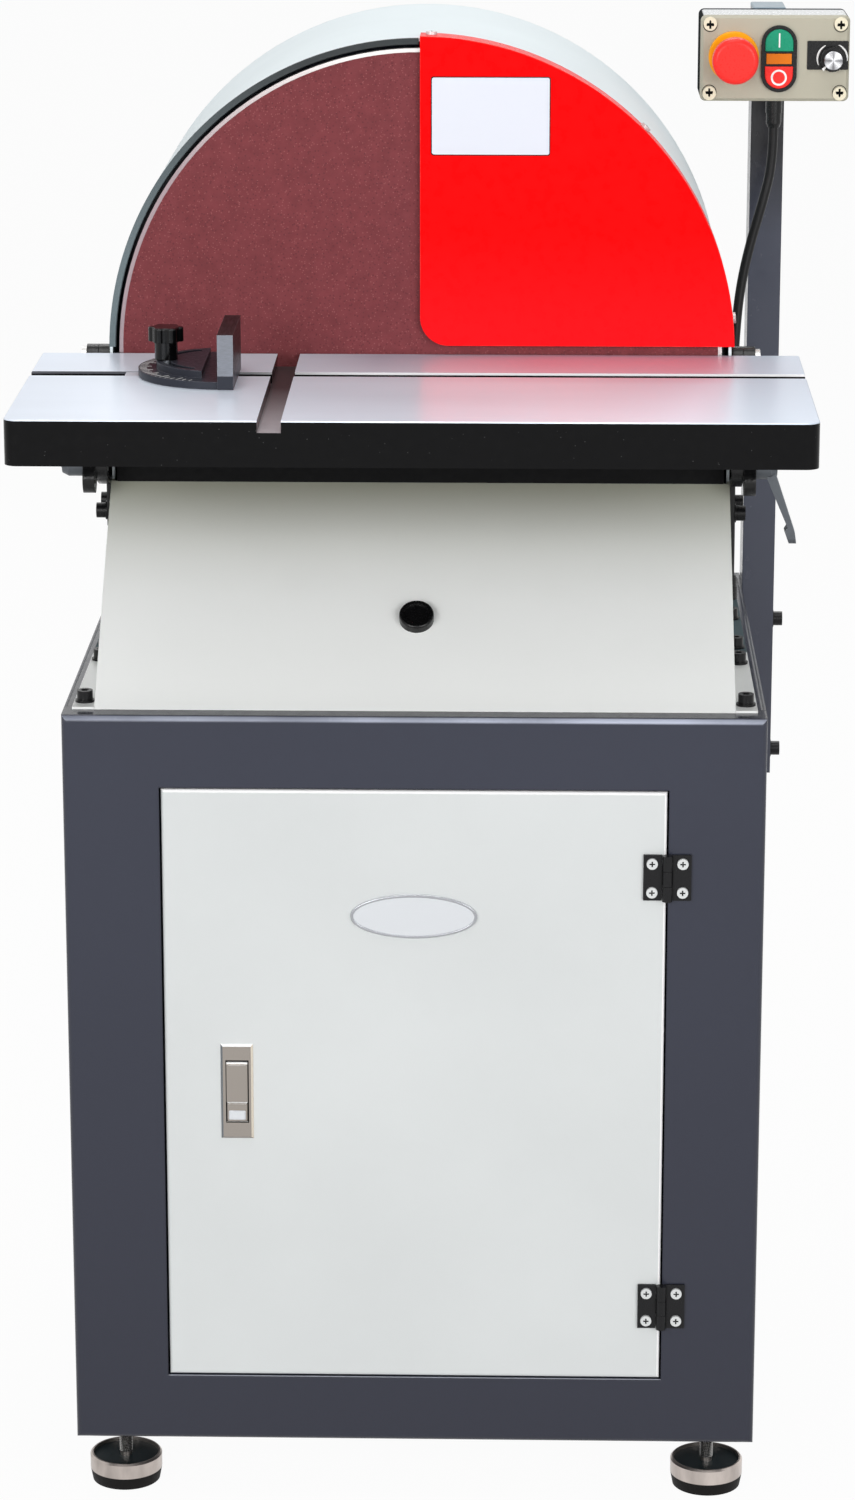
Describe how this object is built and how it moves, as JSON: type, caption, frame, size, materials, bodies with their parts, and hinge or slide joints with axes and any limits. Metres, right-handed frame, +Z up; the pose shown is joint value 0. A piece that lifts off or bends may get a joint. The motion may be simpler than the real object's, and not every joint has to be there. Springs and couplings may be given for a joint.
{
  "type": "disc sander",
  "caption": "Floor-standing disc sander: a cabinet with a door carries a hooded, guarded disc on its motor, a tilting slotted table with a mitre gauge, and a control box on a post.",
  "frame": {"origin": "middle of the footprint's bounding box, on the floor", "axes": "+Z up, +Y from the operator's side to the back, +X to the operator's right"},
  "size_m": [0.69, 0.64, 1.2264],
  "materials": {
    "slate_paint": "semi-gloss stove paint",
    "pale_paint": "semi-gloss stove paint",
    "red_paint": "gloss paint",
    "abrasive": "coated abrasive cloth",
    "cast_aluminium": "cast and turned",
    "motor_iron": "painted casting",
    "table_iron": "ground top, dark painted edges",
    "dark_iron": "painted casting",
    "steel": "bright steel",
    "black_steel": "black oxide",
    "gauge_black": "black anodised",
    "black_plastic": "moulded",
    "grey_plastic": "moulded",
    "beige_plastic": "moulded",
    "red_plastic": "moulded",
    "yellow_plastic": "moulded",
    "green_plastic": "moulded",
    "orange_lens": "translucent",
    "foot_rubber": "pad with a steel cup",
    "cable_rubber": "sheath"
  },
  "bodies": {
    "stand": {"cabinet_front": "slate_paint", "cabinet_sides": "slate_paint", "cabinet_back": "slate_paint", "cabinet_top": "slate_paint", "cabinet_base": "slate_paint", "control_post": "slate_paint", "motor_plate": "slate_paint", "hood_band": "pale_paint", "hood_back": "pale_paint", "dust_chute": "pale_paint", "dust_port": "pale_paint", "fan_cover": "pale_paint", "post_cap": "pale_paint", "disc_guard": "red_paint", "motor_body": "motor_iron", "motor_flange": "motor_iron", "tilt_brackets": "dark_iron", "motor_bearings": "steel", "tilt_pivot_pins": "steel", "cover_screws": "steel", "cap_screws": "black_steel", "hinge_frame_leaves": "black_steel", "chute_plug": "black_plastic", "dial_plate": "black_plastic", "button_bezel": "black_plastic", "speed_drive": "black_plastic", "cable_glands": "black_plastic", "control_box": "grey_plastic", "control_lid": "beige_plastic", "stop_collar": "yellow_plastic", "pilot_lens": "orange_lens", "control_cable": "cable_rubber"},
    "door": {"door_panel": "pale_paint", "door_badge": "steel", "latch_bezel": "steel", "hinge_door_leaves": "black_steel", "hinge_door_screws": "steel"},
    "latch_handle": {"latch_handle": "steel"},
    "latch_button": {"latch_button": "steel"},
    "disc": {"disc_plate": "cast_aluminium", "sanding_sheet": "abrasive", "rotor_shaft": "steel", "cooling_fan": "cast_aluminium"},
    "table": {"work_table": "table_iron", "table_trunnions": "dark_iron", "table_bolts": "steel"},
    "left_lever": {"left_lock_lever": "cast_aluminium"},
    "right_lever": {"right_lock_lever": "cast_aluminium"},
    "gauge_bar": {"gauge_bar": "steel"},
    "gauge_head": {"gauge_head": "gauge_black", "gauge_fence": "gauge_black"},
    "gauge_knob": {"gauge_knob": "black_plastic"},
    "stop_mushroom": {"stop_mushroom": "red_plastic"},
    "start_button": {"start_button": "green_plastic"},
    "stop_button": {"stop_button": "red_plastic"},
    "speed_knob": {"speed_knob": "black_plastic"},
    "foot_front_left": {"foot_front_left": "foot_rubber"},
    "foot_front_right": {"foot_front_right": "foot_rubber"},
    "foot_rear_left": {"foot_rear_left": "foot_rubber"},
    "foot_rear_right": {"foot_rear_right": "foot_rubber"}
  },
  "joints": [
    {"name": "disc_spin", "type": "hinge", "parent": "stand", "child": "disc", "pos_m": [-0.025, -0.023, 0.9585], "axis": [0, 1, 0], "continuous": true},
    {"name": "table_tilt", "type": "hinge", "parent": "stand", "child": "table", "pos_m": [-0.025, -0.009, 0.9485], "axis": [1, 0, 0], "range_deg": [0, 45]},
    {"name": "left_lever_turn", "type": "hinge", "parent": "table", "child": "left_lever", "pos_m": [-0.315, -0.0555, 0.86796], "axis": [1, 0, 0], "range_deg": [-150, 0]},
    {"name": "right_lever_turn", "type": "hinge", "parent": "table", "child": "right_lever", "pos_m": [0.265, -0.0555, 0.86796], "axis": [1, 0, 0], "range_deg": [-75, 75]},
    {"name": "gauge_slide", "type": "slide", "parent": "table", "child": "gauge_bar", "axis": [1, 0, 0], "range_m": [-0.075, 0.45]},
    {"name": "gauge_swing", "type": "hinge", "parent": "gauge_bar", "child": "gauge_head", "pos_m": [-0.185, -0.12, 0.9615], "axis": [0, 0, 1], "range_deg": [-60, 60]},
    {"name": "gauge_clamp", "type": "hinge", "parent": "gauge_bar", "child": "gauge_knob", "pos_m": [-0.232, -0.12, 0.9795], "axis": [0, 0, 1], "range_deg": [0, 270]},
    {"name": "door_swing", "type": "hinge", "parent": "stand", "child": "door", "pos_m": [0.18325, -0.2436, 0.3765], "axis": [0, 0, 1], "range_deg": [0, 150]},
    {"name": "latch_pull", "type": "hinge", "parent": "door", "child": "latch_handle", "pos_m": [-0.1725, -0.2382, 0.39585], "axis": [-1, 0, 0], "range_deg": [0, 40]},
    {"name": "latch_push", "type": "slide", "parent": "door", "child": "latch_button", "axis": [0, 1, 0], "range_m": [0, 0.003], "stiffness_N_per_m": 400},
    {"name": "emergency_stop", "type": "slide", "parent": "stand", "child": "stop_mushroom", "axis": [0, 1, 0], "range_m": [0, 0.005]},
    {"name": "start_press", "type": "slide", "parent": "stand", "child": "start_button", "axis": [0, 1, 0], "range_m": [0, 0.003], "stiffness_N_per_m": 600},
    {"name": "stop_press", "type": "slide", "parent": "stand", "child": "stop_button", "axis": [0, 1, 0], "range_m": [0, 0.003], "stiffness_N_per_m": 600},
    {"name": "speed_turn", "type": "hinge", "parent": "stand", "child": "speed_knob", "pos_m": [0.33, 0.157, 1.18375], "axis": [0, 1, 0], "range_deg": [0, 280]},
    {"name": "front_left_foot_turn", "type": "hinge", "parent": "stand", "child": "foot_front_left", "pos_m": [-0.276, -0.19, 0], "axis": [0, 0, 1], "range_deg": [-180, 180]},
    {"name": "front_right_foot_turn", "type": "hinge", "parent": "stand", "child": "foot_front_right", "pos_m": [0.226, -0.19, 0], "axis": [0, 0, 1], "range_deg": [-180, 180]},
    {"name": "rear_left_foot_turn", "type": "hinge", "parent": "stand", "child": "foot_rear_left", "pos_m": [-0.276, 0.242, 0], "axis": [0, 0, 1], "range_deg": [-180, 180]},
    {"name": "rear_right_foot_turn", "type": "hinge", "parent": "stand", "child": "foot_rear_right", "pos_m": [0.226, 0.242, 0], "axis": [0, 0, 1], "range_deg": [-180, 180]}
  ]
}
